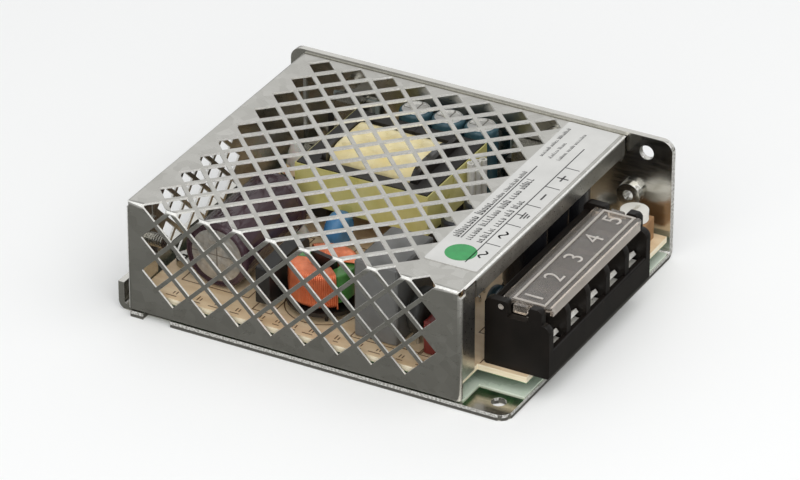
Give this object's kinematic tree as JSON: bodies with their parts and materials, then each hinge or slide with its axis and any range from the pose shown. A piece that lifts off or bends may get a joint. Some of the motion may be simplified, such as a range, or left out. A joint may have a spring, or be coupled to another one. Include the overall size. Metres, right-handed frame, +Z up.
{
  "type": "enclosed switching power supply",
  "caption": "Flat boxed switching power supply: folded base with a side wall, diamond perforated cover, board with its parts, and a screw terminal block under a hinged clear cover.",
  "frame": {"origin": "centre of the underside of the base", "axes": "+X across the case towards the plain side wall, +Y from the terminals to the rear, +Z up"},
  "size_m": [0.082, 0.1035, 0.03],
  "materials": {
    "aluminium_sheet": "mill finish, folded",
    "galvanised_sheet": "galvanised, punched and folded",
    "plated_steel": "zinc plated",
    "tinned_brass": "tinned",
    "spring_steel": "bright",
    "label_film": "satin",
    "paper_laminate": "satin",
    "clear_film": "translucent",
    "black_moulding": "fine texture",
    "clear_moulding": "clear moulded plastic",
    "plum_sleeve": "heat shrunk sleeve",
    "teal_sleeve": "heat shrunk sleeve",
    "dark_sleeve": "heat shrunk sleeve",
    "black_epoxy": "moulded",
    "blue_epoxy": "dipped",
    "red_case": "moulded",
    "grey_case": "moulded",
    "green_core": "powder coated core",
    "enamelled_copper": "enamelled wire",
    "ferrite": "fired",
    "cream_tape": "wound tape",
    "olive_tape": "wound tape",
    "white_plastic": "moulded",
    "thermal_pad": "matt"
  },
  "bodies": {
    "case": {"base_bracket": "aluminium_sheet", "cover": "galvanised_sheet", "cover_screw": "plated_steel", "wall_screws": "plated_steel", "label": "label_film", "board": "paper_laminate", "insulation_film": "clear_film", "board_posts": "plated_steel", "board_screws": "plated_steel", "terminal_block": "black_moulding", "terminal_plates": "tinned_brass", "terminal_clamps": "tinned_brass", "terminal_screws": "plated_steel", "bulk_capacitor": "plum_sleeve", "bridge_rectifier": "black_epoxy", "choke_base": "black_moulding", "choke_core": "green_core", "choke_winding_1": "enamelled_copper", "choke_winding_2": "enamelled_copper", "line_capacitor": "grey_case", "inrush_thermistor": "black_epoxy", "fuse": "red_case", "suppression_capacitor": "blue_epoxy", "transformer_core_front": "ferrite", "transformer_core_rear": "ferrite", "transformer_bobbin": "black_moulding", "transformer_winding": "cream_tape", "transformer_tape": "olive_tape", "lead_sleeves": "white_plastic", "output_capacitor_1": "teal_sleeve", "output_capacitor_2": "teal_sleeve", "output_capacitor_3": "teal_sleeve", "small_capacitor_1": "dark_sleeve", "small_capacitor_2": "dark_sleeve", "output_rectifier": "black_epoxy", "rectifier_pad": "thermal_pad", "rectifier_clip": "spring_steel", "switch_transistor": "black_epoxy", "transistor_pad": "thermal_pad", "transistor_clip": "spring_steel", "controller_chip": "black_epoxy", "filter_capacitor_1": "dark_sleeve", "filter_capacitor_2": "dark_sleeve", "filter_capacitor_3": "dark_sleeve", "bypass_capacitor": "blue_epoxy", "optocoupler": "white_plastic", "trimmer_body": "black_moulding"},
    "clear_cover": {"terminal_cover": "clear_moulding"},
    "trimmer": {"trimmer_rotor": "white_plastic"}
  },
  "joints": [
    {"name": "clear_cover_hinge", "type": "hinge", "parent": "case", "child": "clear_cover", "pos_m": [0, -0.042, 0.0214], "axis": [-1, 0, 0], "range_deg": [0, 95]},
    {"name": "trimmer_turn", "type": "hinge", "parent": "case", "child": "trimmer", "pos_m": [0.0333, -0.0433, 0.012], "axis": [0, 0, 1], "range_deg": [-130, 130]}
  ]
}
